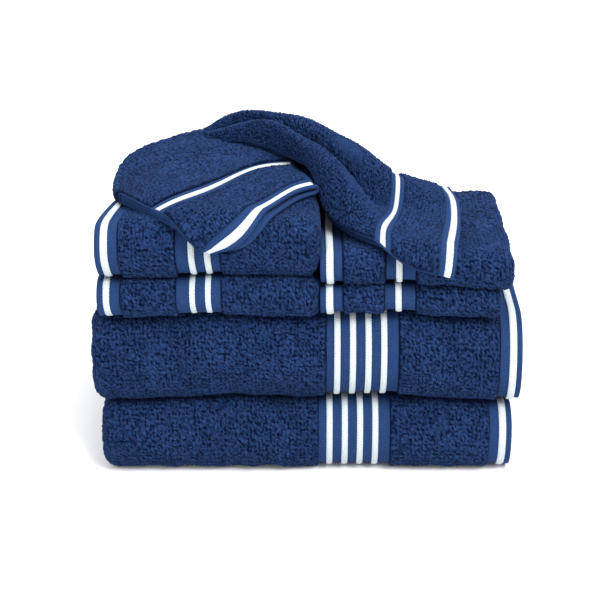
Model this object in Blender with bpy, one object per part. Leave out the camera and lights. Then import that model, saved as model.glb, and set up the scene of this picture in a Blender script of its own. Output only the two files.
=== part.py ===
"""Bath towel set: two bath towels, two hand towels and four washcloths, stacked.

The two bath towels lie flat at the bottom. On them stand two columns side by side, folded hand
towels on the left and folded washcloths on the right, and two washcloths are draped over the top.
Each towel is one soft body, and each white woven stripe is a ribbon set into a shallow groove of
its towel. Metres, +X right, +Y back, +Z up. The origin is the middle of the footprint, on the floor.
"""
import math

import bpy
import numpy as np

# Driving dimensions ---------------------------------------------------------------------------

CLEARANCE = 0.0003          # gap between pieces that touch

# Flat sizes of the towels, hem to hem and selvedge to selvedge
BATH_LENGTH = 1.320
BATH_WIDTH = 0.686
HAND_LENGTH = 0.711
HAND_WIDTH = 0.406
WASH_LENGTH = 0.305
WASH_WIDTH = 0.305

# Layers that each fold makes: across the length, then across the width
BATH_FOLDS = (4, 3)
HAND_FOLDS = (4, 2)
WASH_FOLDS = (2, 2)

# How much wider a pile comes out than its share of the flat length: its folds bulge or are tight
BATH_LOWER_SPREAD = -0.008
BATH_UPPER_SPREAD = 0.003
HAND_SPREAD = -0.009
WASH_LOWER_SPREAD = -0.015
WASH_UPPER_SPREAD = -0.006

# Thickness of one layer in each pile, looser towards the top
BATH_LOWER_LAYER = 0.00475
BATH_UPPER_LAYER = 0.00640
HAND_LOWER_LAYER = 0.00378
HAND_UPPER_LAYER = 0.00565
WASH_LOWER_LAYER = 0.00585
WASH_UPPER_LAYER = 0.00700
DRAPED_LAYER = 0.0045

# Places of the two columns on the bath towels
COLUMN_INSET = 0.0065       # left column, in from the left end of the upper bath towel
COLUMN_GAP = 0.001          # between the two columns
HAND_SETBACK = 0.002        # front of the hand towels, behind the front of the bath towels
WASH_SETBACK = 0.003        # front of the folded washcloths, likewise

# Rounding of a pile's front fold and back, as shares of its thickness, and of its two ends
NOSE_SHARE = 0.45
BACK_SHARE = 0.25
NOSE_POWER = 2.6            # of the superellipse: 2 is a plain ellipse, more is squarer
ROLL_SHARE = 0.32           # round path of a cloth that hangs over the nose
HEM_END_ROUND = 0.0035
FOLD_END_ROUND = 0.0090

# White stripes: distances from the hem's rounding, widths, and the groove they lie in
GROOVE_DEPTH = 0.0011
HEM_STRIPE_OFFSET = 0.0006
HEM_STRIPE_WIDTH = 0.0062
BORDER_STRIPE_WIDTH = 0.0054
STRIPE_PITCH = 0.0120
BATH_BORDER_OFFSET = 0.1010
BATH_BORDER_COUNT = 4
HAND_BORDER_OFFSET = 0.0710
HAND_BORDER_COUNT = 2
WASH_BORDER_OFFSET = 0.0580
WASH_BORDER_COUNT = 1

# Draped washcloths. A place on the stack is (x, run): x is counted from where the two columns meet,
# and run is the distance forward from where the top of the pile below starts to roll down over
# its front, and is negative on the flat top.
LEFT_LAYERS = 2             # folded once
LEFT_LAYER = 0.0050
LEFT_LENGTH = 0.212         # from its hem to where the rest is tucked under
LEFT_SELVEDGE = ((-0.085, 0.027), (-0.150, 0.000), (-0.186, -0.075), (-0.141, -0.150))
LEFT_FOLD = ((-0.003, -0.047), (-0.012, -0.090), (-0.018, -0.140), (-0.022, -0.183))
RIGHT_LAYERS = 2            # folded once
RIGHT_LAYER = 0.0045
RIGHT_SELVEDGE = ((0.101, 0.019), (0.006, 0.014), (0.020, -0.070), (-0.097, -0.160))
RIGHT_FOLD = ((0.109, -0.120), (0.030, -0.150), (-0.012, -0.172), (-0.078, -0.188))
RIDGE_HEIGHT = 0.028        # of the two gathered ridges, over the rest of the right cloth
RIDGE_START = 0.22          # where they start, as a share of the way from the hem
RIDGE_FULL = 0.72           # where they are highest
STEP_START = -0.002        # x where the right cloth starts to drop to the folded washcloths
STEP_END = 0.030            # x where it lies on them

NOSE_STEPS = 8              # straight runs in a pile's rounded front
BACK_STEPS = 4
END_STEPS = 3
CLOTH_ROWS = 18             # rows of squares along a draped cloth
CLOTH_STEPS = 26             # squares across it, closer together where it rolls over the front
CLOTH_CROWDING = 1.5


# Materials --------------------------------------------------------------------------------------

def plain_material(name, colour, roughness):
    """A Principled material of one colour."""
    material = bpy.data.materials.new(name)
    material.use_nodes = True
    shader = material.node_tree.nodes["Principled BSDF"]
    shader.inputs["Base Color"].default_value = (*colour, 1.0)
    shader.inputs["Roughness"].default_value = roughness
    shader.inputs["Metallic"].default_value = 0.0
    return material


# Solids made of rings -----------------------------------------------------------------------------

def loft(name, rings, material, ladder_caps):
    """A closed body through rings of points, with its two end rings closed.

    A ladder cap joins point k with point n-1-k, for a ring made of an outer and an inner row.
    """
    count = len(rings[0])
    faces = []
    for ring in range(len(rings) - 1):
        here, there = ring * count, (ring + 1) * count
        for k in range(count):
            after = (k + 1) % count
            faces.append((here + k, here + after, there + after, there + k))
    first, last = 0, (len(rings) - 1) * count
    if ladder_caps:
        for k in range(count // 2 - 1):
            quad = (k, k + 1, count - 2 - k, count - 1 - k)
            faces.append(tuple(first + i for i in reversed(quad)))
            faces.append(tuple(last + i for i in quad))
    else:
        faces.append(tuple(first + k for k in reversed(range(count))))
        faces.append(tuple(last + k for k in range(count)))
    mesh = bpy.data.meshes.new(name)
    mesh.from_pydata(np.concatenate(rings).tolist(), [], faces)
    mesh.validate()
    mesh.materials.append(material)
    solid = bpy.data.objects.new(name, mesh)
    bpy.context.collection.objects.link(solid)
    turn_outwards(mesh)
    mesh.shade_smooth()
    mesh.set_sharp_from_angle(angle=math.radians(40))
    return solid


def turn_outwards(mesh):
    """Flip every face if the body's signed volume is negative."""
    corners = np.empty(len(mesh.vertices) * 3)
    mesh.vertices.foreach_get("co", corners)
    corners = corners.reshape(-1, 3)
    mesh.calc_loop_triangles()
    triangles = np.empty(len(mesh.loop_triangles) * 3, dtype=np.int32)
    mesh.loop_triangles.foreach_get("vertices", triangles)
    a, b, c = (corners[triangles.reshape(-1, 3)[:, i]] for i in range(3))
    if np.einsum("ij,ij->i", a, np.cross(b, c)).sum() < 0:
        mesh.flip_normals()


# Folded piles ---------------------------------------------------------------------------------------

def pile_outline(depth, height):
    """Side outline of a pile as (y, z) from its front bottom: underside, nose, top, then back.

    The nose and the back are halves of a superellipse. Also gives the slice of the outline that
    a stripe covers: the underside, the nose and the top.
    """
    nose = NOSE_SHARE * height
    back = BACK_SHARE * height
    half = height / 2
    power = 2 / NOSE_POWER

    def bulge(angle, reach):
        across = np.sign(np.cos(angle)) * np.abs(np.cos(angle)) ** power
        up = np.sign(np.sin(angle)) * np.abs(np.sin(angle)) ** power
        return reach * across, half + half * up

    angles = np.linspace(-math.pi / 2, math.pi / 2, NOSE_STEPS + 1)
    out, up = bulge(angles, nose)
    front = np.column_stack([nose - out, up])
    angles = np.linspace(math.pi / 2, -math.pi / 2, BACK_STEPS + 1)
    out, up = bulge(angles, back)
    rear = np.column_stack([depth - back + out, up])
    stripe_end = depth - back - height / 4
    under = np.array([[stripe_end, 0.0]])
    over = np.array([[stripe_end, height]])
    return np.concatenate([under, front, over, rear]), slice(0, NOSE_STEPS + 3)


def inset_outline(outline, depth, height, amount):
    """The outline drawn in by the same amount at its front, back, top and underside."""
    y = amount + outline[:, 0] * (depth - 2 * amount) / depth
    z = amount + outline[:, 1] * (height - 2 * amount) / height
    return np.column_stack([y, z])


class Pile:
    """One folded towel: a side outline carried along X, with grooves for its white stripes."""

    def __init__(self, name, flat, folds, layer, spread, left, front, bottom, hem_on_right):
        self.name = name
        self.width = flat[0] / folds[0] + spread
        self.depth = flat[1] / folds[1]
        self.height = folds[0] * folds[1] * layer
        self.left, self.right = left, left + self.width
        self.front, self.back = front, front + self.depth
        self.bottom, self.top = bottom, bottom + self.height
        self.hem_on_right = hem_on_right
        self.outline, self.covered = pile_outline(self.depth, self.height)

    def ring(self, x, amount, covered_only=False):
        """The outline at x, inset; inset only where a stripe covers it, if asked."""
        points = inset_outline(self.outline, self.depth, self.height, amount)
        if covered_only:
            whole = self.outline.copy()
            whole[self.covered] = points[self.covered]
            points = whole
        return np.column_stack([np.full(len(points), x),
                                self.front + points[:, 0], self.bottom + points[:, 1]])

    def stripe_span(self, offset, width):
        """Left and right side of a stripe that starts at offset from the hem end."""
        offset += HEM_END_ROUND
        if self.hem_on_right:
            return self.right - offset - width, self.right - offset
        return self.left + offset, self.left + offset + width

    def end_rings(self, end, way, radius):
        """Rings of a rounded end: a quarter circle from the end inwards; way is +1 or -1."""
        angles = np.linspace(0, math.pi / 2, END_STEPS + 1)
        return [self.ring(end + way * radius * (1 - math.cos(a)), radius * (1 - math.sin(a)))
                for a in angles]

    def build(self, towel_material, stripe_material, stripes):
        """The towel's body and its stripes; stripes is a list of (name, offset, width)."""
        spans = sorted(self.stripe_span(offset, width) for _, offset, width in stripes)
        left_round, right_round = FOLD_END_ROUND, HEM_END_ROUND
        if not self.hem_on_right:
            left_round, right_round = right_round, left_round
        left_end = self.end_rings(self.left, 1, left_round)
        right_end = self.end_rings(self.right, -1, right_round)[::-1]
        grooves = []
        for start, end in spans:
            grooves += [self.ring(start, 0.0), self.ring(start, GROOVE_DEPTH, True),
                        self.ring(end, GROOVE_DEPTH, True), self.ring(end, 0.0)]
        loft(self.name, left_end + grooves + right_end, towel_material, ladder_caps=False)
        for name, offset, width in stripes:
            start, end = self.stripe_span(offset, width)
            rings = []
            for x in (start + CLEARANCE, end - CLEARANCE):
                outer = self.ring(x, 0.0)[self.covered]
                inner = self.ring(x, GROOVE_DEPTH - CLEARANCE)[self.covered]
                rings.append(np.concatenate([outer, inner[::-1]]))
            loft(f"{self.name}_{name}", rings, stripe_material, ladder_caps=True)


# Draped cloths --------------------------------------------------------------------------------------

def bezier(points, share):
    """Place on a Bezier curve of any degree, by repeated halving of its control polygon."""
    rows = [np.array(point) for point in points]
    while len(rows) > 1:
        rows = [a * (1 - share) + b * share for a, b in zip(rows, rows[1:])]
    return rows[0]


def smooth(value, start, end):
    """0 before start, 1 after end, and a smooth S between them."""
    share = np.clip((value - start) / (end - start), 0, 1)
    return share * share * (3 - 2 * share)


class Drape:
    """A cloth laid on a pile: rows from its hem, each from its front side to its back side."""

    def __init__(self, name, pile, meeting, front_side, back_side, thickness, length, lift,
                 ridge):
        self.name = name
        self.pile = pile
        self.meeting = meeting
        self.front_side, self.back_side = front_side, back_side
        self.thickness, self.length = thickness, length
        self.lift, self.ridge = lift, ridge

    def place(self, x, run, above):
        """World place of a point at (x, run), so far above the pile.

        The cloth lies flat on top, follows a round path over the front, then hangs straight down.
        """
        radius = ROLL_SHARE * self.pile.height
        start = self.pile.front + radius
        angle = np.clip(run / radius, 0, math.pi / 2)
        y = start - (radius + above) * np.sin(angle) - np.minimum(run, 0)
        z = self.pile.top - radius + (radius + above) * np.cos(angle)
        z = z - np.maximum(run - radius * math.pi / 2, 0)
        return np.column_stack([self.meeting + x, y, z])

    def row(self, share, above, with_ridge):
        """One row of points at a share of the length from the hem."""
        across = np.linspace(0, 1, CLOTH_STEPS + 1)[:, None] ** CLOTH_CROWDING
        front, back = bezier(self.front_side, share), bezier(self.back_side, share)
        places = front * (1 - across) + back * across
        height = above + CLEARANCE + self.lift(places[:, 0])
        if with_ridge:
            height = height + self.ridge(share, across[:, 0])
        return self.place(places[:, 0], places[:, 1], height)

    def ring(self, share, inset):
        """Upper row, then lower row back; the upper one is inset where a stripe lies."""
        upper = self.row(share, self.thickness - inset, True)
        lower = self.row(share, 0.0, False)
        return np.concatenate([upper, lower[::-1]])

    def build(self, towel_material, stripe_material, stripes):
        """The cloth's body and its stripes; stripes is a list of (name, offset, width)."""
        shares = set(np.linspace(0, 1, CLOTH_ROWS + 1))
        rings = []
        for _, offset, width in stripes:
            start, end = offset / self.length, (offset + width) / self.length
            shares = {share for share in shares if not start - 0.02 < share < end + 0.02}
            rings += [(start, 0, 0.0), (start, 1, GROOVE_DEPTH),
                      (end, 0, GROOVE_DEPTH), (end, 1, 0.0)]
        rings += [(share, 0, 0.0) for share in shares | {0.0}]
        loft(self.name, [self.ring(share, inset) for share, _, inset in sorted(rings)],
             towel_material, ladder_caps=True)
        for name, offset, width in stripes:
            rings = []
            for place in (offset + CLEARANCE, offset + width - CLEARANCE):
                share = place / self.length
                outer = self.row(share, self.thickness, True)
                inner = self.row(share, self.thickness - GROOVE_DEPTH + CLEARANCE, True)
                rings.append(np.concatenate([outer, inner[::-1]]))
            loft(f"{self.name}_{name}", rings, stripe_material, ladder_caps=True)


# The set ----------------------------------------------------------------------------------------------

def stripe_list(border_offset, border_count):
    """Hem stripe, then the stripes of the woven border."""
    stripes = [("hem_stripe", HEM_STRIPE_OFFSET, HEM_STRIPE_WIDTH)]
    for index in range(border_count):
        offset = border_offset + index * STRIPE_PITCH
        stripes.append((f"border_stripe_{index + 1}", offset, BORDER_STRIPE_WIDTH))
    return stripes


def build_set():
    """Every towel of the set, from the floor up."""
    terry = plain_material("navy_terry", (0.018, 0.036, 0.105), 0.95)
    woven = plain_material("white_stripe", (0.80, 0.83, 0.86), 0.80)
    bath_stripes = stripe_list(BATH_BORDER_OFFSET, BATH_BORDER_COUNT)
    hand_stripes = stripe_list(HAND_BORDER_OFFSET, HAND_BORDER_COUNT)
    wash_stripes = stripe_list(WASH_BORDER_OFFSET, WASH_BORDER_COUNT)

    bath_flat, hand_flat = (BATH_LENGTH, BATH_WIDTH), (HAND_LENGTH, HAND_WIDTH)
    wash_flat = (WASH_LENGTH, WASH_WIDTH)
    left_thickness = LEFT_LAYERS * LEFT_LAYER
    right_thickness = RIGHT_LAYERS * RIGHT_LAYER
    proud = CLEARANCE + max(left_thickness - HAND_SETBACK, right_thickness - WASH_SETBACK)
    front = (proud - BATH_WIDTH / BATH_FOLDS[1]) / 2       # so that the footprint is centred

    upper_width = BATH_LENGTH / BATH_FOLDS[0] + BATH_UPPER_SPREAD
    lower_width = BATH_LENGTH / BATH_FOLDS[0] + BATH_LOWER_SPREAD
    bath_lower = Pile("bath_towel_lower", bath_flat, BATH_FOLDS, BATH_LOWER_LAYER,
                      BATH_LOWER_SPREAD, -lower_width / 2, front, 0.0, True)
    bath_upper = Pile("bath_towel_upper", bath_flat, BATH_FOLDS, BATH_UPPER_LAYER,
                      BATH_UPPER_SPREAD, -upper_width / 2, front,
                      bath_lower.top + CLEARANCE, True)
    column_left = bath_upper.left + COLUMN_INSET
    hand_lower = Pile("hand_towel_lower", hand_flat, HAND_FOLDS, HAND_LOWER_LAYER, HAND_SPREAD,
                      column_left, front + HAND_SETBACK, bath_upper.top + CLEARANCE, False)
    hand_upper = Pile("hand_towel_upper", hand_flat, HAND_FOLDS, HAND_UPPER_LAYER, HAND_SPREAD,
                      column_left, front + HAND_SETBACK, hand_lower.top + CLEARANCE, False)
    column_left = hand_upper.right + COLUMN_GAP
    wash_lower = Pile("folded_washcloth_lower", wash_flat, WASH_FOLDS, WASH_LOWER_LAYER,
                      WASH_LOWER_SPREAD, column_left, front + WASH_SETBACK,
                      bath_upper.top + CLEARANCE, False)
    wash_upper = Pile("folded_washcloth_upper", wash_flat, WASH_FOLDS, WASH_UPPER_LAYER,
                      WASH_UPPER_SPREAD, column_left, front + WASH_SETBACK,
                      wash_lower.top + CLEARANCE, False)
    for pile in (bath_lower, bath_upper):
        pile.build(terry, woven, bath_stripes)
    for pile in (hand_lower, hand_upper):
        pile.build(terry, woven, hand_stripes)
    for pile in (wash_lower, wash_upper):
        pile.build(terry, woven, wash_stripes)

    step = hand_upper.top + CLEARANCE + left_thickness - wash_upper.top

    def no_lift(x):
        return np.zeros_like(x)

    def no_ridge(share, across):
        return np.zeros_like(across)

    def step_lift(x):
        return step * (1 - smooth(x, STEP_START, STEP_END))

    def two_ridges(share, across):
        grown = smooth(share, RIDGE_START, RIDGE_FULL) * (1 - 0.5 * smooth(share, RIDGE_FULL, 1))
        return RIDGE_HEIGHT * grown * np.sin(2 * math.pi * across) ** 2

    left_cloth = Drape("draped_washcloth_left", hand_upper, hand_upper.right, LEFT_SELVEDGE,
                       LEFT_FOLD, left_thickness, LEFT_LENGTH, no_lift, no_ridge)
    right_cloth = Drape("draped_washcloth_right", wash_upper, hand_upper.right, RIGHT_SELVEDGE,
                        RIGHT_FOLD, right_thickness, WASH_LENGTH, step_lift, two_ridges)
    for cloth in (left_cloth, right_cloth):
        cloth.build(terry, woven, wash_stripes)


for old in list(bpy.data.objects):
    bpy.data.objects.remove(old)
build_set()
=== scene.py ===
"""Bath towel set, finished: navy terry towels with white ribbed stripes, folded and stacked.

The sections follow the stack from the floor up. Lengths are metres, +X right, +Y back, +Z up.
"""
import math

import bpy
import numpy as np
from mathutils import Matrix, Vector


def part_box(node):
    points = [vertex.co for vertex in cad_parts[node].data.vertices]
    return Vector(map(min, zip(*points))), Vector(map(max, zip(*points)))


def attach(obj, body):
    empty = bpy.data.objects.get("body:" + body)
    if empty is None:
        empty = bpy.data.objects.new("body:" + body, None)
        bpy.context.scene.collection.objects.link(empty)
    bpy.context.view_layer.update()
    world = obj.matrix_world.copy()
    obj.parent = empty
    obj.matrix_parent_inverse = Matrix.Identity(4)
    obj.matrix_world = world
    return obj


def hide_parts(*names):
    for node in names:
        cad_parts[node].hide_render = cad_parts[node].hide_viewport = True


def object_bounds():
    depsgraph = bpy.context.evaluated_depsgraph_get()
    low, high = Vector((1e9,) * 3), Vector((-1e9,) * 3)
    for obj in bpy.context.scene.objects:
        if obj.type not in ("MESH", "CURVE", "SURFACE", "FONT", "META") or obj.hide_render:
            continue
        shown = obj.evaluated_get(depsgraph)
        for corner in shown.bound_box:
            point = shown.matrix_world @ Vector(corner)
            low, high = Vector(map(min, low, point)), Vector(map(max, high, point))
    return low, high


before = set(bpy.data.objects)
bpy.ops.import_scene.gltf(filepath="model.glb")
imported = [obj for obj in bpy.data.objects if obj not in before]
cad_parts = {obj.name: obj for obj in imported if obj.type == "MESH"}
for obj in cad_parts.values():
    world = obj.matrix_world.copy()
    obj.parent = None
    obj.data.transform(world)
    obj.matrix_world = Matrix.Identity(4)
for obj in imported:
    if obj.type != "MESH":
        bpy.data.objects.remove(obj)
cad_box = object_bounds()

# Studio -------------------------------------------------------------------------------------------
# A seamless pale table under broad soft lights, with the camera a little above the stack and square
# to its front.
FLOOR_HALF = 3.0
VIEW_DOWN = math.radians(24.0)
VIEW_DISTANCE = 1.30
VIEW_LENS = 98.7             # mm, on a 36 mm sensor
VIEW_SIDE = -0.0055          # the camera's middle, left of the stack's middle
VIEW_RISE = 0.1436           # and above the foot of its front, across the line of sight

stack_low, stack_high = cad_box
front_foot = np.array([0.0, stack_low[1], 0.0])
sight = np.array([0.0, math.cos(VIEW_DOWN), -math.sin(VIEW_DOWN)])
sight_up = np.array([0.0, math.sin(VIEW_DOWN), math.cos(VIEW_DOWN)])
camera_place = (front_foot - VIEW_DISTANCE * sight + VIEW_RISE * sight_up
                + np.array([VIEW_SIDE, 0.0, 0.0]))
camera = bpy.data.objects.new("camera", bpy.data.cameras.new("camera"))
camera.data.lens = VIEW_LENS
camera.location = camera_place
camera.rotation_euler = (math.pi / 2 - VIEW_DOWN, 0.0, 0.0)
bpy.context.collection.objects.link(camera)
bpy.context.scene.camera = camera
bpy.context.scene.view_settings.view_transform = "Standard"


def soft_light(name, place, size, power, tint):
    """A square area light at place, turned to face the middle of the stack."""
    lamp = bpy.data.lights.new(name, "AREA")
    lamp.size, lamp.energy, lamp.color = size, power, tint
    holder = bpy.data.objects.new(name, lamp)
    holder.location = place
    aim = np.array([0.0, 0.0, 0.12]) - np.array(place)
    turn = math.atan2(aim[1], aim[0]) - math.pi / 2
    tilt = math.atan2(math.hypot(aim[0], aim[1]), -aim[2])
    holder.rotation_euler = (tilt, 0.0, turn)
    bpy.context.collection.objects.link(holder)


soft_light("key_light", (0.70, -1.05, 1.5), 0.8, 36.0, (1.0, 0.99, 0.97))
soft_light("fill_light", (-1.2, -0.9, 0.9), 1.2, 11.0, (0.96, 0.98, 1.0))
soft_light("top_light", (0.2, 0.3, 1.9), 1.3, 23.0, (1.0, 1.0, 1.0))

world = bpy.data.worlds.new("studio")
bpy.context.scene.world = world
world.use_nodes = True
world.node_tree.nodes["Background"].inputs["Color"].default_value = (1.0, 1.0, 1.0, 1.0)
world.node_tree.nodes["Background"].inputs["Strength"].default_value = 0.88

floor_mesh = bpy.data.meshes.new("table")
floor_mesh.from_pydata([(-FLOOR_HALF, -FLOOR_HALF, 0.0), (FLOOR_HALF, -FLOOR_HALF, 0.0),
                        (FLOOR_HALF, FLOOR_HALF, 0.0), (-FLOOR_HALF, FLOOR_HALF, 0.0)],
                       [], [(0, 1, 2, 3)])
table = bpy.data.objects.new("table", floor_mesh)
bpy.context.collection.objects.link(table)
table_white = bpy.data.materials.new("table_white")
table_white.use_nodes = True
table_white.node_tree.nodes["Principled BSDF"].inputs["Base Color"].default_value = (
    0.93, 0.93, 0.935, 1.0)
table_white.node_tree.nodes["Principled BSDF"].inputs["Roughness"].default_value = 0.9
floor_mesh.materials.append(table_white)

# Bath towels --------------------------------------------------------------------------------------
# Two cotton bath towels. Each is folded in four along its length, which gives a slab of four
# layers with the hem at the right, and that slab is folded in three, so its round fold is in front.
BATH_FLAT = (1.320, 0.686)
NOSE_SHARE = 0.45            # reach of the round front fold, as a share of the pile's height
NOSE_LENGTH = 1.25           # its length round, likewise
NOSE_POWER = 2.05            # of its superellipse
TUCK_SHARE = 0.25            # reach of a fold at the back, likewise
TURN_LENGTH = 1.5            # its length round, as a share of a slab
HEM_DEPTH = 0.0165           # flat-woven band along the hem
FLAT_HALF = 0.0011           # half the thickness of flat-woven cloth
LOOP_PITCH = 0.0017          # from one terry loop to the next
LOOP_RISE = 0.0022           # how far the tallest loop stands over the lowest
RIB_HALF = 0.0006            # half the thickness of a white stripe
RIDGE_PITCH = 0.0024         # from one ridge of a stripe to the next
RIB_SLANT = 0.4              # lean of the ridges: how far along the stripe for each step across

FOLD_TURNS = np.linspace(-math.pi / 2, math.pi / 2, 721)
FOLD_OUT = np.abs(np.cos(FOLD_TURNS)) ** (2 / NOSE_POWER)
FOLD_UP = np.sign(FOLD_TURNS) * np.abs(np.sin(FOLD_TURNS)) ** (2 / NOSE_POWER)
FOLD_STEPS = np.hypot(np.diff(FOLD_OUT) * 0.9, np.diff(FOLD_UP))
FOLD_PACE = np.concatenate([[0.0], np.cumsum(FOLD_STEPS)])
FOLD_PACE /= FOLD_PACE[-1]


def nose(share):
    """How far out and up a round fold is at a share of the way round it, from below to above.

    Half a superellipse, out = cos(a)^(2/p) and up = sin(a)^(2/p), walked at an even pace.
    """
    return np.interp(share, FOLD_PACE, FOLD_OUT), np.interp(share, FOLD_PACE, FOLD_UP)


def ramp(value, start, end):
    """0 before start, 1 after end, and a smooth S between them."""
    share = np.clip((value - start) / (end - start), 0, 1)
    return share * share * (3 - 2 * share)


def pile_of(solid, hem_side, flat, across, panels, lean=0.0, push=0.0, nearer=0.0):
    """Sizes of a folded pile, read from its solid: ends, front, height and folds.

    lean is how far the hem's end slants inwards towards the back; push is how far the lower half
    of the front fold is pushed along; nearer is how much the border has shrunk towards the hem.
    lowest is how far across the towel its first panel reaches, before it turns at the back.
    """
    low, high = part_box(solid)
    height = high[2] - low[2]
    return {"node": solid, "hem_side": hem_side, "flat": flat, "across": across, "panels": panels,
            "lean": lean, "push": push, "nearer": nearer,
            "left": low[0], "right": high[0], "front": low[1], "bottom": low[2],
            "width": high[0] - low[0], "deep": high[1] - low[1], "height": height,
            "slab": height / panels, "layer": height / panels / across,
            "lowest": (flat[1] - NOSE_LENGTH * height) / panels}


def along_slab(pile, s, lift):
    """Where the outer skin of the slab is: along it from the hem, and its depth below the skin.

    Straight, then round the end fold of radius R = half the slab; lift pushes it outwards. With
    angle a round the fold: along = straight + (R + lift) sin a, depth = R - (R + lift) cos a.
    """
    radius = pile["slab"] / 2
    straight = pile["width"] - radius
    angle = np.clip((s - straight) / radius, 0.0, math.pi)
    past = np.maximum(s - straight - radius * math.pi, 0.0)
    along = np.minimum(s, straight) + (radius + lift) * np.sin(angle) - past
    return along, radius - (radius + lift) * np.cos(angle)


def round_pile(pile, v, depth):
    """Where the folded slab lies from front to back and up, at v across the towel.

    v runs from the free edge at the start to the one at the end: bottom panel forward, round the
    front fold, top panel back. A pile of three panels starts with one more, between those two,
    that goes back and turns under. depth is measured into the slab from its skin.
    """
    height, slab, deep = pile["height"], pile["slab"], pile["deep"]
    reach = NOSE_SHARE * height
    nose_run = NOSE_LENGTH * height
    share_in = 1 - depth / (height / 2)
    if pile["panels"] == 3:
        tuck = TUCK_SHARE * height
        turn_run = TURN_LENGTH * slab
        inner_run = pile["lowest"] - turn_run / 2
        inner_front = reach * 1.1
        bottom_start = inner_run + turn_run
        share_tuck = 1 - depth / slab
        inner = np.clip(v / inner_run, 0, 1)
        out, up = nose(np.clip((v - inner_run) / turn_run, 0, 1))
        y_inner = inner_front + inner * (deep - tuck - inner_front)
        y_turn = deep - tuck + tuck * share_tuck * out
        z_turn = slab - slab * share_tuck * up
        y_start, start_back = deep - tuck, bottom_start
    else:
        y_start, start_back = deep - 0.002, 0.0
    nose_start = pile["flat"][1] * (2 / 3 if pile["panels"] == 3 else 1 / 2) - nose_run / 2
    nose_end = nose_start + nose_run
    under = np.clip((v - start_back) / (nose_start - start_back), 0, 1)
    out, up = nose(np.clip((v - nose_start) / nose_run, 0, 1))
    over = np.clip((v - nose_end) / (pile["flat"][1] - nose_end), 0, 1)
    y_nose = reach - reach * share_in * out
    z_nose = height / 2 + (height / 2) * share_in * up
    y = np.where(v < nose_start, y_start + under * (reach - y_start), y_nose)
    y = np.where(v > nose_end, reach + over * (deep - 0.003 - reach), y)
    z = np.where(v < nose_start, depth, np.where(v > nose_end, height - depth, z_nose))
    if pile["panels"] == 3:
        y = np.where(v < bottom_start, y_turn, y)
        z = np.where(v < bottom_start, z_turn, z)
        y = np.where(v < inner_run, y_inner, y)
        z = np.where(v < inner_run, 2 * slab - depth, z)
    return y, z, (nose_start, nose_end)


def settle(points):
    """The give of soft cloth: the stack sinks a little towards its ends and is never quite even.

    z rises by CROWN (1 - (x / half)^2) above the first towel, and slow sine waves move y and z.
    """
    x, y, z = points[..., 0], points[..., 1], points[..., 2]
    loaded = np.clip(z / 0.057, 0, 1)
    crown = 0.0045 * (1 - (x / 0.165) ** 2) - 0.0015
    uneven = 0.0009 * np.sin(31 * x + 2.1) * np.sin(23 * y + 0.7) + 0.0006 * np.sin(57 * x - 1.3)
    forward = 0.0016 * np.sin(19 * x + 41 * z) + 0.0009 * np.sin(47 * x - 63 * z + 1.0)
    risen = np.maximum(z + (crown + uneven) * loaded, 0.0)         # the table flattens the loops
    return np.stack([x, y + forward * loaded, risen], axis=-1)


def in_place(pile, along, y, z):
    """From a pile's own measures to the stack's: X from the hem's side, Y from the front."""
    along, y, z = np.broadcast_arrays(along, y, z)
    free = np.clip(1 - along / pile["width"], 0, 1)
    along = along + pile["lean"] * ramp(y, 0.008, 0.150) * free
    low_half = np.clip(0.6 - z / pile["height"], 0, 0.6) / 0.6
    along = along + pile["push"] * low_half ** 2 * np.clip(1 - y / 0.03, 0, 1) * np.sqrt(free)
    x = pile["right"] - along if pile["hem_side"] > 0 else pile["left"] + along
    return settle(np.stack([x, pile["front"] + y, pile["bottom"] + z], axis=-1))


def face_grid(rows, columns, start=0):
    """Squares between the points of a grid, as point numbers."""
    index = np.arange(rows * columns).reshape(rows, columns) + start
    return np.stack([index[:-1, :-1], index[1:, :-1], index[1:, 1:], index[:-1, 1:]],
                    axis=-1).reshape(-1, 4)


def make_mesh(name, points, faces, uv, material, values):
    """A smooth piece from arrays: points, squares, and a flat place and values at each point."""
    mesh = bpy.data.meshes.new(name)
    mesh.vertices.add(len(points))
    mesh.vertices.foreach_set("co", points.astype(np.float32).ravel())
    mesh.loops.add(faces.size)
    mesh.loops.foreach_set("vertex_index", faces.astype(np.int32).ravel())
    mesh.polygons.add(len(faces))
    mesh.polygons.foreach_set("loop_start", np.arange(0, faces.size, 4, dtype=np.int32))
    mesh.update(calc_edges=True)
    layer = mesh.uv_layers.new(name="flat_cloth")
    layer.uv.foreach_set("vector", uv[faces.ravel()].astype(np.float32).ravel())
    for key, value in values.items():
        mesh.attributes.new(key, "FLOAT", "POINT").data.foreach_set(
            "value", value.astype(np.float32).ravel())
    mesh.shade_smooth()
    mesh.materials.append(material)
    piece = bpy.data.objects.new(name, mesh)
    bpy.context.collection.objects.link(piece)
    return piece


def grid_normals(grid):
    """Unit normals of a grid of points, from the cross product of its two directions."""
    normal = np.cross(np.gradient(grid, axis=0), np.gradient(grid, axis=1))
    return normal / np.maximum(np.linalg.norm(normal, axis=-1, keepdims=True), 1e-12)


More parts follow.
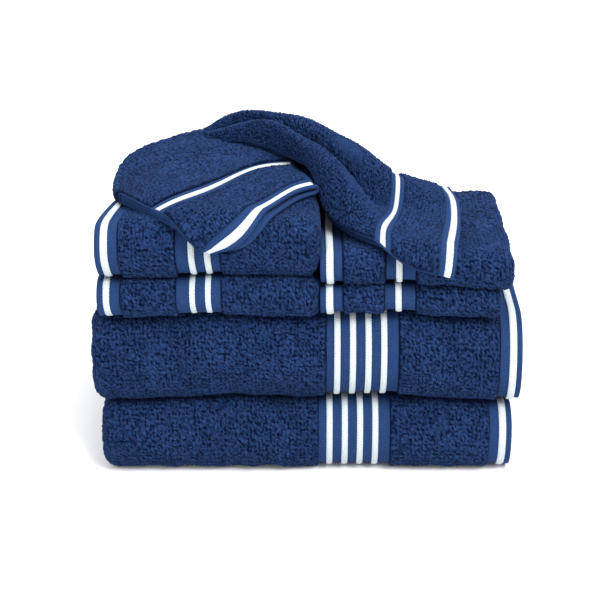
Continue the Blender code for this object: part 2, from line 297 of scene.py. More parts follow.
def cloth_shell(name, grid, half, uv, material, values):
    """A closed cloth round a grid: one face half its thickness to each side, joined at the rim."""
    rows, columns = grid.shape[:2]
    normal = grid_normals(grid)
    half = np.broadcast_to(half, (rows, columns))[..., None]
    upper, lower = grid + normal * half, grid - normal * half
    count = rows * columns
    index = np.arange(count).reshape(rows, columns)
    rim = np.concatenate([index[0, :], index[1:, -1], index[-1, -2::-1], index[-2:0:-1, 0]])
    after = np.roll(rim, -1)
    sides = np.stack([rim, rim + count, after + count, after], axis=-1)
    faces = np.concatenate([face_grid(rows, columns), face_grid(rows, columns, count)[:, ::-1],
                            sides[:, ::-1]])
    points = np.concatenate([upper.reshape(-1, 3), lower.reshape(-1, 3)])
    flat = np.concatenate([uv.reshape(-1, 2)] * 2)
    values = {key: np.concatenate([value.ravel()] * 2) for key, value in values.items()}
    return make_mesh(name, points, faces, flat, material, values)


def stations(*runs):
    """Places along a line from (start, end, step) runs that follow one another."""
    parts = [np.linspace(a, b, max(2, int(round(abs(b - a) / step)) + 1))[:-1]
             for a, b, step in runs]
    return np.concatenate(parts + [[runs[-1][1]]])


LOOP_TABLE = np.random.default_rng(27).random((256, 256, 3))


def loop_tops(a, b, pitch):
    """Height, 0 to 1, of terry loops at (a, b): the tallest of the round tops near each point.

    Loops stand about a pitch apart, each moved off its square by a fixed table and as high as the
    table says: 1 - (distance / reach)^2, and the largest of the nine nearest counts.
    """
    column, row = np.floor(a / pitch).astype(int), np.floor(b / pitch).astype(int)
    best = np.zeros(np.broadcast(a, b).shape)
    for da in (-1, 0, 1):
        for db in (-1, 0, 1):
            shift = LOOP_TABLE[(column + da) % 256, (row + db) % 256]
            along = a - (column + da + 0.15 + 0.7 * shift[..., 0]) * pitch
            across = b - (row + db + 0.15 + 0.7 * shift[..., 1]) * pitch
            square = (along ** 2 + across ** 2) / (0.85 * pitch) ** 2
            best = np.maximum(best, (0.55 + 0.45 * shift[..., 2]) * (1 - square))
    return best


def slow_noise(a, b, size, seed):
    """Smooth uneven field about -1 to 1 over (a, b): five sine waves in mixed directions."""
    waves = np.random.default_rng(seed)
    total = 0.0
    for _ in range(5):
        angle, phase = waves.random(2) * 2 * math.pi
        pace = 2 * math.pi / (size * (0.6 + 0.9 * waves.random()))
        total = total + np.sin(pace * (a * math.cos(angle) + b * math.sin(angle)) + phase)
    return total / 2.6


# The darkest navy is painted shade for the pits between the terry loops; the other navys are the
# cloth's own colours.
NAVY_PIT_SHADE = (0.0010, 0.0040, 0.0170)
NAVY = (0.0190, 0.0460, 0.1420)
NAVY_WOVEN = (0.0095, 0.0255, 0.0730)
WHITE_THREAD = (0.50, 0.545, 0.56)
# The grey-blue is painted shade for the grooves between the white ribs.
WHITE_GROOVE_SHADE = (0.29, 0.34, 0.40)


def start_material(name, roughness, sheen):
    """A node material with a Principled shader of that roughness and sheen: its tree, shader."""
    material = bpy.data.materials.new(name)
    material.use_nodes = True
    shader = material.node_tree.nodes["Principled BSDF"]
    shader.inputs["Roughness"].default_value = roughness
    shader.inputs["Specular IOR Level"].default_value = 0.03
    shader.inputs["Sheen Weight"].default_value = sheen
    shader.inputs["Sheen Roughness"].default_value = 0.45
    shader.inputs["Sheen Tint"].default_value = (0.25, 0.40, 0.80, 1.0)
    return material, material.node_tree, shader


def node(tree, kind, settings=(), **inputs):
    """A shader node with its settings, its number inputs, and its links, given by name."""
    made = tree.nodes.new(kind)
    for key, value in dict(settings).items():
        setattr(made, key, value)
    for key, value in inputs.items():
        socket = made.inputs[int(key[1:])] if key[0] == "i" and key[1:].isdigit() else (
            made.inputs[key.replace("_", " ")])
        if isinstance(value, bpy.types.NodeSocket):
            tree.links.new(value, socket)
        else:
            socket.default_value = value
    return made


def mix_colours(tree, share, first, second):
    """The colour between two, by share: its output socket."""
    mixed = node(tree, "ShaderNodeMix", {"data_type": "RGBA"})
    for socket, value in zip((mixed.inputs[0], mixed.inputs[6], mixed.inputs[7]),
                             (share, first, second)):
        if isinstance(value, bpy.types.NodeSocket):
            tree.links.new(value, socket)
        else:
            socket.default_value = value if isinstance(value, float) else (*value, 1.0)
    return mixed.outputs[2]


def terry_material():
    """Looped navy cotton: dark with painted shade between the loops, lighter on their tops, with
    mottled yarn.
    """
    material, tree, shader = start_material("navy_terry", 0.95, 0.06)
    place = node(tree, "ShaderNodeTexCoord").outputs["Object"]
    tip_shade = node(tree, "ShaderNodeAttribute", {"attribute_name": "tip_shade"}).outputs["Fac"]
    yarn = node(tree, "ShaderNodeTexNoise", Vector=place, Scale=800.0, Detail=3.0,
                Roughness=0.65).outputs["Fac"]
    patch = node(tree, "ShaderNodeTexNoise", Vector=place, Scale=38.0, Detail=2.0).outputs["Fac"]
    # Painted shade: the lower a point of the loops, the nearer its colour goes to the darkest navy,
    # which stands in for the shade between the loops; the yarn noise adds a random mottle.
    height = node(tree, "ShaderNodeMath", {"operation": "MULTIPLY_ADD"}, i0=yarn, i1=0.70,
                  i2=tip_shade).outputs[0]
    share = node(tree, "ShaderNodeMapRange", Value=height, From_Min=0.70, From_Max=1.30).outputs[0]
    colour = mix_colours(tree, share, NAVY_PIT_SHADE, NAVY)
    patchy = node(tree, "ShaderNodeMapRange", Value=patch, From_Min=0.3, From_Max=0.7, To_Min=0.86,
                  To_Max=1.14).outputs[0]
    tint = node(tree, "ShaderNodeHueSaturation", Color=colour, Value=patchy).outputs[0]
    tree.links.new(tint, shader.inputs["Base Color"])
    bump = node(tree, "ShaderNodeBump", Height=yarn, Strength=0.9, Distance=0.0012).outputs[0]
    tree.links.new(bump, shader.inputs["Normal"])
    return material


def woven_material():
    """Flat-woven navy cotton, a plain weave of fine threads, going over to terry where not flat."""
    material, tree, shader = start_material("navy_woven", 0.85, 0.05)
    place = node(tree, "ShaderNodeTexCoord").outputs
    flat = node(tree, "ShaderNodeAttribute", {"attribute_name": "flat"}).outputs["Fac"]
    wefts = node(tree, "ShaderNodeTexWave", {"bands_direction": "X"}, Vector=place["UV"],
                 Scale=340.0, Distortion=0.8, Detail=1.0).outputs["Fac"]
    warps = node(tree, "ShaderNodeTexWave", {"bands_direction": "Y"}, Vector=place["UV"],
                 Scale=300.0, Distortion=0.8, Detail=1.0).outputs["Fac"]
    weave = node(tree, "ShaderNodeMath", {"operation": "MULTIPLY"}, i0=wefts, i1=warps).outputs[0]
    fuzz = node(tree, "ShaderNodeTexNoise", Vector=place["Object"], Scale=800.0,
                Detail=3.0).outputs["Fac"]
    threads = node(tree, "ShaderNodeMath", {"operation": "MULTIPLY_ADD"}, i0=weave, i1=0.35,
                   i2=fuzz).outputs[0]
    share = node(tree, "ShaderNodeMapRange", Value=threads, From_Min=0.25,
                 From_Max=0.85).outputs[0]
    woven = mix_colours(tree, share, NAVY, NAVY_WOVEN)
    # Off the woven bands the colour is speckled by noise with the darkest navy, painted shade like
    # that between terry loops.
    looped = mix_colours(tree, fuzz, NAVY_PIT_SHADE, NAVY)
    tree.links.new(mix_colours(tree, flat, looped, woven), shader.inputs["Base Color"])
    bump = node(tree, "ShaderNodeBump", Height=threads, Strength=0.5, Distance=0.0004).outputs[0]
    tree.links.new(bump, shader.inputs["Normal"])
    return material


def stripe_material():
    """White cotton cord woven into ribs that lean a little, with painted grey-blue shade in the
    grooves.
    """
    material, tree, shader = start_material("white_stripe", 0.80, 0.15)
    place = node(tree, "ShaderNodeTexCoord").outputs
    ribs = node(tree, "ShaderNodeTexWave", {"bands_direction": "Y"}, Vector=place["UV"],
                Scale=165.0, Distortion=1.0, Detail=1.0, Detail_Scale=2.0).outputs["Fac"]
    fuzz = node(tree, "ShaderNodeTexNoise", Vector=place["Object"], Scale=900.0,
                Detail=2.0).outputs["Fac"]
    height = node(tree, "ShaderNodeMath", {"operation": "MULTIPLY_ADD"}, i0=fuzz, i1=0.3,
                  i2=ribs).outputs[0]
    share = node(tree, "ShaderNodeMapRange", Value=height, From_Min=-0.1, From_Max=0.5).outputs[0]
    # Painted shade: the colour goes grey-blue where the rib height is low, in the grooves.
    tree.links.new(mix_colours(tree, share, WHITE_GROOVE_SHADE, WHITE_THREAD),
                   shader.inputs["Base Color"])
    bump = node(tree, "ShaderNodeBump", Height=height, Strength=0.5, Distance=0.0005).outputs[0]
    tree.links.new(bump, shader.inputs["Normal"])
    return material


terry = terry_material()
woven = woven_material()
white = stripe_material()


def slab_path(pile):
    """Middle line of one towel folded along its length: its run, place along and depth.

    Two layers are one half-turn of radius half a layer. Four layers go out along the skin, round
    the outer half-turn, back, round inside at the hem's side, out, round inside, and back.
    """
    layer, straight = pile["layer"], pile["width"] - pile["slab"] / 2
    turns = np.linspace(0, math.pi, 13)

    def half_turn(centre, depth, radius, way, side):
        return (centre + side * radius * np.sin(turns), depth - way * radius * np.cos(turns))

    if pile["across"] == 4:
        inner = 0.004 + layer / 2
        runs = [((0.0,), (layer / 2,)), half_turn(straight, 2 * layer, 1.5 * layer, 1, 1),
                half_turn(inner, 3 * layer, layer / 2, -1, -1),
                half_turn(straight, 2 * layer, layer / 2, -1, 1),
                ((0.0015,), (1.5 * layer,))]
    else:
        runs = [((0.0,), (layer / 2,)), half_turn(straight, layer, layer / 2, 1, 1),
                ((0.001,), (1.5 * layer,))]
    along = np.concatenate([np.asarray(run[0], float) for run in runs])
    depth = np.concatenate([np.asarray(run[1], float) for run in runs])
    length = np.concatenate([[0.0], np.cumsum(np.hypot(np.diff(along), np.diff(depth)))])
    return length, along, depth


def in_bands(s, bands, edge):
    """1 inside any of the (start, end) bands along the cloth, falling to 0 over edge outside."""
    inside = [ramp(s, start - edge, start) * (1 - ramp(s, end, end + edge))
              for start, end in bands]
    return np.max(inside, axis=0)


def widths(pile, fine, middle, coarse):
    """Stations across a towel: fine round the front fold, middle on top, coarse elsewhere."""
    wide = pile["flat"][1]
    nose_start, nose_end = round_pile(pile, np.zeros(1), np.zeros(1))[2]
    start = 0.0
    runs = []
    if pile["panels"] == 3:
        turn = TURN_LENGTH * pile["slab"]
        turn_start, start = pile["lowest"] - turn / 2, pile["lowest"] + turn / 2
        runs = [(0.0, turn_start, coarse), (turn_start, start, 1.6 * fine)]
    runs += [(start, nose_start - 0.012, coarse), (nose_start - 0.012, nose_end + 0.045, fine),
             (nose_end + 0.045, wide, middle)]
    return stations(*runs)


def towel_sheet(pile, bands, material):
    """The whole towel as one folded cloth, thin and flat-woven in the bands."""
    length, along, depth = slab_path(pile)
    folds = np.flatnonzero(np.diff(length) < 0.008)
    straight = length[folds[0]]
    runs = [(0.0, bands[-1][1] + 0.004, 0.0022), (bands[-1][1] + 0.004, straight, 0.008)]
    s = np.concatenate([stations(*runs), length[(length > straight) & (length < length[-1])],
                        np.arange(straight + 0.03, length[-1] - 0.004, 0.012), length[-1:]])
    s = np.unique(s)
    s = s[np.concatenate([[True], np.diff(s) > 0.0003])]
    v = widths(pile, 0.0030, 0.0060, 0.0110)
    s_grid, v_grid = np.meshgrid(s, v, indexing="ij")
    x, depth_in = np.interp(s_grid, length, along), np.interp(s_grid, length, depth)
    y, z, _ = round_pile(pile, v_grid, depth_in)
    grid = in_place(pile, x, y, z)
    far_bands = [(length[-1] - end, length[-1] - start) for start, end in bands]
    flat = in_bands(s_grid, bands + far_bands, 0.002)
    selvedge = np.minimum(v_grid, pile["flat"][1] - v_grid)
    flat = np.maximum(flat, 1 - ramp(selvedge, 0.004, 0.008))
    outermost = 1 - ramp(s_grid, pile["width"] + pile["slab"], pile["width"] + 2 * pile["slab"])
    half = pile["layer"] * (0.41 - 0.14 * outermost) * (1 - flat) + FLAT_HALF * flat
    hem = np.minimum(s_grid, length[-1] - s_grid)
    half = half * (1 + 0.35 * (1 - ramp(hem, 0.002, 0.0045)))
    scale = pile["flat"][0] / length[-1]
    uv = np.stack([s_grid * scale, v_grid], axis=-1)
    return cloth_shell(pile["node"] + "_cloth", grid, half, uv, material, {"flat": flat})


def towel_pile(pile, zones, fine, middle, coarse, material, seed):
    """The terry loops on the outside of a pile, over the (start, end) zones from its hem.

    The skin stands up and down by loop_tops, and dips into the cloth at the edges of a zone.
    """
    radius = pile["slab"] / 2
    end_of_skin = pile["width"] - radius + radius * math.pi + 0.006
    v = widths(pile, fine, middle, coarse)
    if pile["panels"] == 3:
        v = v[v > pile["lowest"] - TURN_LENGTH * pile["slab"] / 2]
    points, faces, flats, tips, start = [], [], [], [], 0
    for zone_start, zone_end in zones:
        zone_end = min(zone_end, end_of_skin)
        s = stations((zone_start, zone_end, fine))
        s_grid, v_grid = np.meshgrid(s, v, indexing="ij")
        tops = loop_tops(s_grid + seed * 0.31, v_grid * 1.1, LOOP_PITCH)
        edge = np.minimum(s_grid - zone_start, zone_end - s_grid)
        edge = np.minimum(edge, np.minimum(v_grid - v[0], pile["flat"][1] - v_grid) * 0.5)
        rise = ramp(edge, 0.0, 0.0022)
        swell = 0.0006 * slow_noise(s_grid, v_grid, 0.030, seed)
        lift = -0.0022 + rise * (0.0016 + LOOP_RISE * tops + swell)
        x, depth_in = along_slab(pile, s_grid, lift)
        y, z, _ = round_pile(pile, v_grid, depth_in)
        grid = in_place(pile, x, y, z)
        points.append(grid.reshape(-1, 3))
        squares = face_grid(*grid.shape[:2], start)
        faces.append(squares if pile["hem_side"] > 0 else squares[:, ::-1])
        flats.append(np.stack([s_grid, v_grid], axis=-1).reshape(-1, 2))
        # The loop heights also go to the colour, which paints shade where they are low.
        tips.append((tops * rise).ravel())
        start += grid.shape[0] * grid.shape[1]
    return make_mesh(pile["node"] + "_pile", np.concatenate(points), np.concatenate(faces),
                     np.concatenate(flats), material, {"tip_shade": np.concatenate(tips)})


def rib_half(across, along):
    """Half the thickness of a white rib: full in its middle, thin at both edges, and ridged.

    RIB_HALF sqrt(1.02 - across^6), plus a sine with one ridge every RIDGE_PITCH along it; across
    goes from -1 to 1.
    """
    ridge = 0.00008 * np.sin(along * 2 * math.pi / RIDGE_PITCH + across)
    return RIB_HALF * np.sqrt(1.02 - across ** 6) + ridge


def towel_stripe(pile, stripe_node, fine, material):
    """One white stripe on the outside of a pile, over the CAD ribbon of the same name."""
    low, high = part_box(stripe_node)
    if pile["hem_side"] > 0:
        start, end = pile["right"] - high[0], pile["right"] - low[0]
    else:
        start, end = low[0] - pile["left"], high[0] - pile["left"]
    if "border" in stripe_node:
        start, end = start - pile["nearer"], end - pile["nearer"]
    s = np.linspace(start, end, 7)
    v = widths(pile, fine, 0.004, 0.009)
    if pile["panels"] == 3:
        v = v[v > pile["lowest"] - 0.5 * pile["slab"]]
    v = v[(v > 0.004) & (v < pile["flat"][1] - 0.004)]
    s_grid, v_grid = np.meshgrid(s, v, indexing="ij")
    across = (s_grid - start) / (end - start) * 2 - 1
    y, z, _ = round_pile(pile, v_grid, 0.0009 + 0.0002 * across ** 2)
    grid = in_place(pile, s_grid, y, z)
    uv = np.stack([s_grid, v_grid + RIB_SLANT * s_grid], axis=-1)
    return cloth_shell(stripe_node + "_rib", grid, rib_half(across, v_grid), uv, material,
                       {"flat": across * 0 + 1})


def finish_towel(pile, border, steps, seed):
    """Every piece of a folded towel, riding on its body and standing for its solids.

    Loops cover it from its hem to the start of the woven border, and from there on.
    """
    name = pile["node"]
    zones = [(HEM_DEPTH, border[0]), (border[1], 1.0)]
    cloth = towel_sheet(pile, [(0.0, HEM_DEPTH), border], woven)
    loops = towel_pile(pile, zones, *steps, terry, seed)
    for stripe_node in sorted(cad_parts):
        if stripe_node.startswith(name + "_"):
            rib = towel_stripe(pile, stripe_node, 0.0012, white)
            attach(rib, name)
            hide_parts(stripe_node)
    for piece in (cloth, loops):
        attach(piece, name)
    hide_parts(name)


BATH_BORDER = (0.0965, 0.1510)
LOOP_STEP = 0.00108          # squares of the pile where it is seen closest
for seed, bath_node, top_step, below in ((1, "bath_towel_lower", 0.0030, []),
                                         (2, "bath_towel_upper", 0.0024,
                                          ["bath_towel_lower_cloth"])):
    finish_towel(pile_of(bath_node, 1, BATH_FLAT, 4, 3), BATH_BORDER,
                 (LOOP_STEP, top_step, 0.0036), seed)

# Hand towels --------------------------------------------------------------------------------------
# Two hand towels, folded in four along their length and then once across, with the hem at the
# left. They make the left column, the upper one fuller than the lower.
HAND_FLAT = (0.711, 0.406)
HAND_BORDER = (0.0615, 0.0930)
BORDER_SHRINK = 0.0045       # how much nearer its hem the border of a small towel lies
for seed, hand_node, lean, push, below in (
        (3, "hand_towel_lower", 0.0, 0.0025, "bath_towel_upper_cloth"),
        (4, "hand_towel_upper", 0.026, 0.0040, "hand_towel_lower_cloth")):
    finish_towel(pile_of(hand_node, -1, HAND_FLAT, 4, 2, lean, push, BORDER_SHRINK), HAND_BORDER,
                 (LOOP_STEP, 0.0022, 0.0045), seed)

# Folded washcloths --------------------------------------------------------------------------------
# Two washcloths, each folded in half twice, with the hem at the left. They make the right column.
WASH_FLAT = (0.305, 0.305)
WASH_BORDER = (0.0500, 0.0720)
for seed, wash_node, below in (
        (5, "folded_washcloth_lower", "bath_towel_upper_cloth"),
        (6, "folded_washcloth_upper", "folded_washcloth_lower_cloth")):
    finish_towel(pile_of(wash_node, -1, WASH_FLAT, 2, 2, 0.0, 0.0015, BORDER_SHRINK), WASH_BORDER,
                 (LOOP_STEP, 0.0020, 0.0045), seed)


# Left draped washcloth ----------------------------------------------------------------------------
# A washcloth folded once, laid slantwise on the hand towels so that its corner hangs over their
# front. Its far end is turned under, and the second layer shows as a sliver below the hem.
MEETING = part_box("hand_towel_upper")[1][0]     # x where the two columns meet
ROLL_SHARE = 0.32            # radius of a pile's front for draping, as a share of its height
DRAPED_MIDDLE = 0.0024       # from a draped cloth's upper face to the middle of its first layer
DRAPED_HALF = 0.0021         # half the thickness of one draped layer
LEFT_ABOVE = 0.0105          # of the left cloth's upper face over the towel
LEFT_CURL = 0.0080           # length of cloth that curls at its far end
LEFT_TURN = 0.010            # and that goes round, back under itself
LEFT_STOP = 0.035            # the cloth turned under ends this far from the hem
FOLD_HALF = 0.004            # half the length of cloth that goes round the fold of a draped cloth
LAYER_STEP = 0.0047          # from the middle of one draped layer to that of the next
# Three lines from the hem to the far end, at the free edges, the middle and the fold: x and run.
LEFT_LINES = (((-0.079, 0.027), (-0.104, 0.022), (-0.134, -0.012), (-0.153, -0.037)),
              ((-0.049, 0.006), (-0.073, -0.038), (-0.105, -0.102), (-0.134, -0.160)),
              ((-0.002, -0.047), (-0.032, -0.110), (-0.026, -0.150), (-0.022, -0.188)))
DRAPED_BORDER = (0.0580, 0.0705)
DRAPED_HEM = 0.0125
DRAPED_STRIPES = (("hem_stripe", 0.0032, 0.0092), ("border_stripe_1", 0.0615, 0.0669))


def bezier(points, share):
    """A place on the curve of four points: the sum of the weights (1-t)^3, 3t(1-t)^2, ..."""
    share = np.asarray(share)[..., None]
    a, b, c, d = (np.array(point) for point in points)
    rest = 1 - share
    return rest ** 3 * a + 3 * rest ** 2 * share * b + 3 * rest * share ** 2 * c + share ** 3 * d


def over_pile(solid, x, run, above):
    """From a place unrolled on a pile to the stack: flat on top, round over the front, then down.

    x is counted from where the columns meet, run forward from where the top starts to roll down.
    """
    low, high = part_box(solid)
    radius = ROLL_SHARE * (high[2] - low[2])
    angle = np.clip(run / radius, 0, math.pi / 2)
    y = low[1] + radius - (radius + above) * np.sin(angle) - np.minimum(run, 0)
    z = high[2] - radius + (radius + above) * np.cos(angle)
    z = z - np.maximum(run - radius * math.pi / 2, 0)
    return settle(np.stack(np.broadcast_arrays(MEETING + x, y, z), axis=-1))


def left_length(b):
    """How far the cloth runs from its hem before it turns under: less at the hanging corner."""
    return 0.118 + 0.140 * b - 0.062 * b ** 2


def left_surface(s, b, depth):
    """The left cloth at s from its hem and b across it, so deep below its upper face.

    Each row crosses three lines by the parabola through them, pushed forward by one sine wave near
    the hem, and past the far end it curls under.
    """
    length = left_length(b)
    past = np.clip((s - length) / LEFT_CURL, 0, 1)
    share = (np.minimum(s, length) + 0.0040 * np.sin(math.pi * past)) / length
    left, middle, right = (bezier(line, share) for line in LEFT_LINES)
    weight = b[..., None]
    place = ((2 * weight - 1) * (weight - 1) * left + 4 * weight * (1 - weight) * middle
             + weight * (2 * weight - 1) * right)
    pace = 1.95 - 0.8 * ramp(s, 0.010, 0.060)
    bulge = 0.0078 * np.sin(2 * math.pi * np.clip(b, 0, 1) ** pace) * (1 - ramp(s, 0.07, 0.15))
    waves = 0.0009 * np.sin(75 * s + 6 * b) + 0.0008 * np.sin(48 * s - 11 * b + 1.0)
    curl = 0.0085 * (1 - np.cos(math.pi * past)) / 2
    above = LEFT_ABOVE - depth - curl + waves * ramp(s, 0, 0.03)
    return over_pile("hand_towel_upper", place[..., 0], place[..., 1] + bulge, above)


def left_layers(s, v, flat):
    """The left cloth's two layers and turned-under end: its middle surface and half thickness.

    deep goes from 0 on the upper layer to 1 on the lower, by half a cosine round the fold. Where
    the end lies under them there are four layers, each about half as thick.
    """
    half_width = flat[1] / 2
    fold = np.clip((v - half_width + FOLD_HALF) / (2 * FOLD_HALF), 0, 1)
    b = np.where(v < half_width, v, flat[1] - v) / (half_width - FOLD_HALF)
    b = np.where((fold > 0) & (fold < 1), 1 + 0.016 * np.sin(fold * math.pi), np.minimum(b, 1))
    deep = (1 - np.cos(fold * math.pi)) / 2
    length = left_length(b) - 0.0035 * deep
    back = np.clip((s - length) / LEFT_TURN, 0, 1)
    squeeze = np.minimum(1, (length - LEFT_STOP) / (flat[0] - LEFT_TURN - length))
    under = (s - length - LEFT_TURN) * squeeze
    s_over = np.where(back < 1, np.minimum(s, length), length - under)
    stacked = ramp(s_over, 0.022, 0.050)
    turning = (1 - np.cos(back * math.pi)) / 2
    two = DRAPED_MIDDLE + LAYER_STEP * deep
    four = ((DRAPED_MIDDLE + 0.0020 * deep) * (1 - turning)
            + (0.0086 - 0.0021 * deep) * turning)
    depth = two * (1 - stacked) + four * stacked
    half = DRAPED_HALF * (1 - stacked) + 0.00098 * stacked
    slip = 0.005 * deep * (1 - ramp(s, 0.0, 0.05)) * np.sin(math.pi * np.clip(b, 0, 1)) ** 0.6
    return left_surface(s_over - slip, b, depth), half


def draped_sheet(name, layers, flat, bands, material):
    """A draped washcloth as one folded cloth, thinner in the bands and at its selvedges."""
    s = stations((0.0, 0.0200, 0.0020), (0.0200, 0.0500, 0.0040), (0.0500, 0.0780, 0.0025),
                 (0.0780, flat[0] - 0.02, 0.0032), (flat[0] - 0.02, flat[0], 0.0030))
    half_width = flat[1] / 2
    fold_start, fold_end = half_width - 0.006, half_width + 0.006
    v = stations((0.0, fold_start, 0.0027), (fold_start, fold_end, 0.0012),
                 (fold_end, flat[1], 0.0040))
    s_grid, v_grid = np.meshgrid(s, v, indexing="ij")
    grid, half = layers(s_grid, v_grid, flat)
    selvedge = np.minimum(v_grid, flat[1] - v_grid)
    woven_bands = in_bands(s_grid, bands, 0.002)
    thin = np.maximum(woven_bands, 1 - ramp(selvedge, 0.002, 0.005))
    half = half * (1 - thin) + np.minimum(half, FLAT_HALF) * thin
    half = half * (1 + 0.3 * (1 - ramp(s_grid, 0.002, 0.0045)))
    uv = np.stack([s_grid, v_grid], axis=-1)
    return cloth_shell(name + "_cloth", grid, half, uv, material, {"flat": woven_bands})


def draped_pile(name, surface, width, zones, fine, material, seed):
    """The terry loops on the upper face of a draped cloth, over the (start, end) zones.

    An end is a distance from the hem, or a function of the place across.
    """
    points, faces, flats, tips, start = [], [], [], [], 0
    for zone_start, zone_end in zones:
        longest = zone_end(1.0) if callable(zone_end) else zone_end
        q, b_grid = np.meshgrid(np.linspace(0, 1, int((longest - zone_start) / fine)),
                                np.linspace(0, 1, int(width / fine)), indexing="ij")
        end = zone_end(b_grid) if callable(zone_end) else zone_end
        s_grid = zone_start + (end - zone_start) * q
        middle = surface(s_grid, b_grid, np.full_like(b_grid, DRAPED_MIDDLE))
        tops = loop_tops(s_grid + seed * 0.31, b_grid * width, LOOP_PITCH)
        edge = np.minimum(s_grid - zone_start, end - s_grid)
        edge = np.minimum(edge, np.minimum(b_grid, 1 - b_grid) * width)
        rise = ramp(edge, 0.0, 0.0028)
        lift = -0.0004 + rise * (0.0019 + 0.0027 * tops)
        grid = middle - grid_normals(middle) * lift[..., None]
        points.append(grid.reshape(-1, 3))
        faces.append(face_grid(*grid.shape[:2], start)[:, ::-1])
        flats.append(np.stack([s_grid, b_grid * width], axis=-1).reshape(-1, 2))
        # The loop heights also go to the colour, which paints shade where they are low.
        tips.append((tops * rise).ravel())
        start += grid.shape[0] * grid.shape[1]
    return make_mesh(name + "_pile", np.concatenate(points), np.concatenate(faces),
                     np.concatenate(flats), material, {"tip_shade": np.concatenate(tips)})


def draped_stripe(name, surface, width, start, end, material):
    """One white stripe along the upper face of a draped cloth, from start to end off its hem."""
    s_grid, b_grid = np.meshgrid(np.linspace(start, end, 7),
                                 np.linspace(0.004, 0.996, int(width / 0.0008)), indexing="ij")
    across = (s_grid - start) / (end - start) * 2 - 1
    middle = surface(s_grid, b_grid, np.full_like(b_grid, DRAPED_MIDDLE))
    grid = middle - grid_normals(middle) * (0.0013 - 0.0002 * across ** 2)[..., None]
    uv = np.stack([s_grid, b_grid * width + RIB_SLANT * s_grid], axis=-1)
    return cloth_shell(name + "_rib", grid, rib_half(across, b_grid * width), uv, material,
                       {"flat": across * 0 + 1})


def finish_draped(name, surface, layers, width, far_end, seed):
    """Every piece of a draped washcloth, riding on its body and standing for its solids.

    far_end is how far from the hem its loops reach: a length, or a function of the place across.
    """
    zones = [(DRAPED_HEM, DRAPED_BORDER[0]), (DRAPED_BORDER[1], far_end)]
    bands = [(0.0, DRAPED_HEM), DRAPED_BORDER]
    cloth = draped_sheet(name, layers, WASH_FLAT, bands, woven)
    loops = draped_pile(name, surface, width, zones, 0.0011, terry, seed)
    for stripe, start, end in DRAPED_STRIPES:
        rib = draped_stripe(name + "_" + stripe, surface, width, start, end, white)
        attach(rib, name)
        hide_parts(name + "_" + stripe)
    for piece in (cloth, loops):
        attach(piece, name)
    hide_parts(name)


finish_draped("draped_washcloth_left", left_surface, left_layers, 0.130,
              lambda b: left_length(b) + 0.9 * LEFT_CURL, 7)

# Right draped washcloth ---------------------------------------------------------------------------
# A washcloth folded once and gathered at its left end. It lies over both columns in two ridges with
# a valley between, and the corner of its hem hangs over the front of the folded washcloths.
# Each line runs from the hem to the gathered end: x, run and height over the folded washcloths.
FRONT_FOOT = ((0.101, 0.020, 0.010), (0.050, 0.006, 0.010), (0.011, -0.034, 0.014),
              (-0.008, -0.084, 0.040), (-0.048, -0.131, 0.040), (-0.093, -0.168, 0.034))
FRONT_CREST = ((0.107, -0.014, 0.010), (0.052, -0.018, 0.012), (0.019, -0.053, 0.046),
               (-0.011, -0.095, 0.057), (-0.048, -0.139, 0.057), (-0.095, -0.172, 0.036))
VALLEY = ((0.111, -0.048, 0.011), (0.063, -0.066, 0.0105), (0.030, -0.074, 0.0120),
          (-0.002, -0.111, 0.0335), (-0.040, -0.151, 0.036), (-0.095, -0.176, 0.033))
BACK_CREST = ((0.112, -0.084, 0.013), (0.066, -0.100, 0.024), (0.027, -0.102, 0.051),
              (-0.013, -0.136, 0.0595), (-0.057, -0.160, 0.059), (-0.096, -0.180, 0.036))
BACK_FOOT = ((0.108, -0.118, 0.012), (0.064, -0.143, 0.014), (0.025, -0.163, 0.014),
             (-0.015, -0.176, 0.034), (-0.055, -0.184, 0.036), (-0.093, -0.188, 0.033))
RIGHT_LINES = np.array((FRONT_FOOT, FRONT_CREST, VALLEY, BACK_CREST, BACK_FOOT))


def smooth_walk(places, share):
    """Through evenly spaced places by cubic pieces whose slope at each is half the way past it."""
    count = len(places)
    at = np.clip(share, -0.05, 1.05) * (count - 1)
    step = np.clip(np.floor(at).astype(int), 0, count - 2)
    t = (at - step).reshape(at.shape + (1,) * (places.ndim - 1))
    slope = np.gradient(places, axis=0)
    first, last = places[step], places[step + 1]
    return ((2 * t ** 3 - 3 * t ** 2 + 1) * first + (t ** 3 - 2 * t ** 2 + t) * slope[step]
            + (3 * t ** 2 - 2 * t ** 3) * last + (t ** 3 - t ** 2) * slope[step + 1])


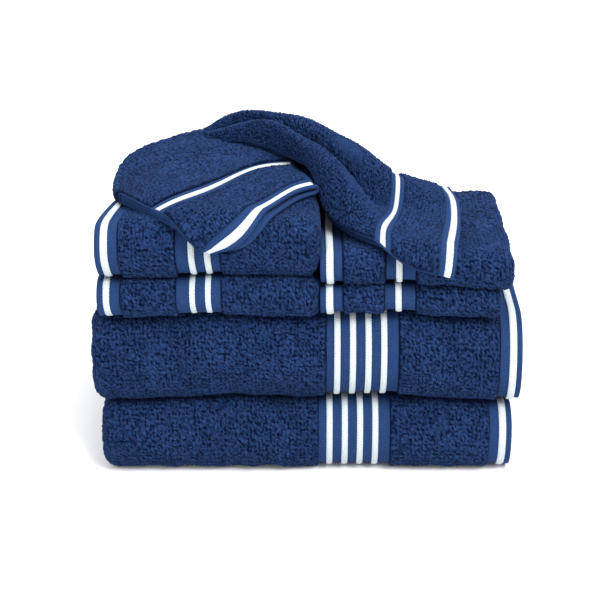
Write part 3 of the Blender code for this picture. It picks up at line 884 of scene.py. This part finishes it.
def right_place(s, b):
    """Unrolled place of the right cloth at s from its hem and b across: x, run and height."""
    lines = smooth_walk(RIGHT_LINES.transpose(1, 0, 2), s / WASH_FLAT[0])     # (..., line, 3)
    at = np.clip(b, -0.02, 1.02) * 4
    step = np.clip(np.floor(at).astype(int), 0, 3)
    t = (at - step)[..., None]
    slope = np.gradient(lines, axis=-2)

    def pick(table, index):
        return np.take_along_axis(table, index[..., None, None], axis=-2)[..., 0, :]

    first, last = pick(lines, step), pick(lines, step + 1)
    return ((2 * t ** 3 - 3 * t ** 2 + 1) * first + (t ** 3 - 2 * t ** 2 + t) * pick(slope, step)
            + (3 * t ** 2 - 2 * t ** 3) * last + (t ** 3 - t ** 2) * pick(slope, step + 1))


def right_surface(s, b, depth):
    """The right cloth's upper face, lowered by depth, with small creases where it is gathered."""
    place = right_place(s, b)
    crease = 0.0011 * np.sin(26 * b + 40 * s) + 0.0009 * np.sin(17 * b - 75 * s + 2.0)
    depth = depth - crease * ramp(s, 0.07, 0.13)
    return over_pile("folded_washcloth_upper", place[..., 0], place[..., 1], place[..., 2] - depth)


def right_layers(s, v, flat):
    """The right cloth's two layers, the lower one nearly flat with pleats towards its end."""
    half_width = flat[1] / 2
    fold = np.clip((v - half_width + FOLD_HALF) / (2 * FOLD_HALF), 0, 1)
    b = np.where(v < half_width, v, flat[1] - v) / (half_width - FOLD_HALF)
    b = np.where((fold > 0) & (fold < 1), 1 + 0.012 * np.sin(fold * math.pi), np.minimum(b, 1))
    deep = (1 - np.cos(fold * math.pi)) / 2
    b = b + 0.05 * deep * np.clip(1 - b, 0, 1)
    place = right_place(s, b)
    x, run, above = place[..., 0], place[..., 1], place[..., 2]
    stack_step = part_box("draped_washcloth_left")[1][2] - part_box("folded_washcloth_upper")[1][2]
    floor = stack_step * (1 - ramp(x, -0.004, 0.012)) + 0.0026
    free = np.maximum(above - 0.0074 - floor, 0.0)
    pleats = 0.48 * free * (1 + np.sin(math.pi * 15 * b)) * ramp(s, 0.08, 0.20)
    lower = np.minimum(above - 0.0070, floor + 0.15 * free + pleats)
    height = (1 - deep) * (above - DRAPED_MIDDLE) + deep * lower
    return over_pile("folded_washcloth_upper", x, run, height), np.full_like(s, DRAPED_HALF)


finish_draped("draped_washcloth_right", right_surface, right_layers, 0.150, 0.304, 8)
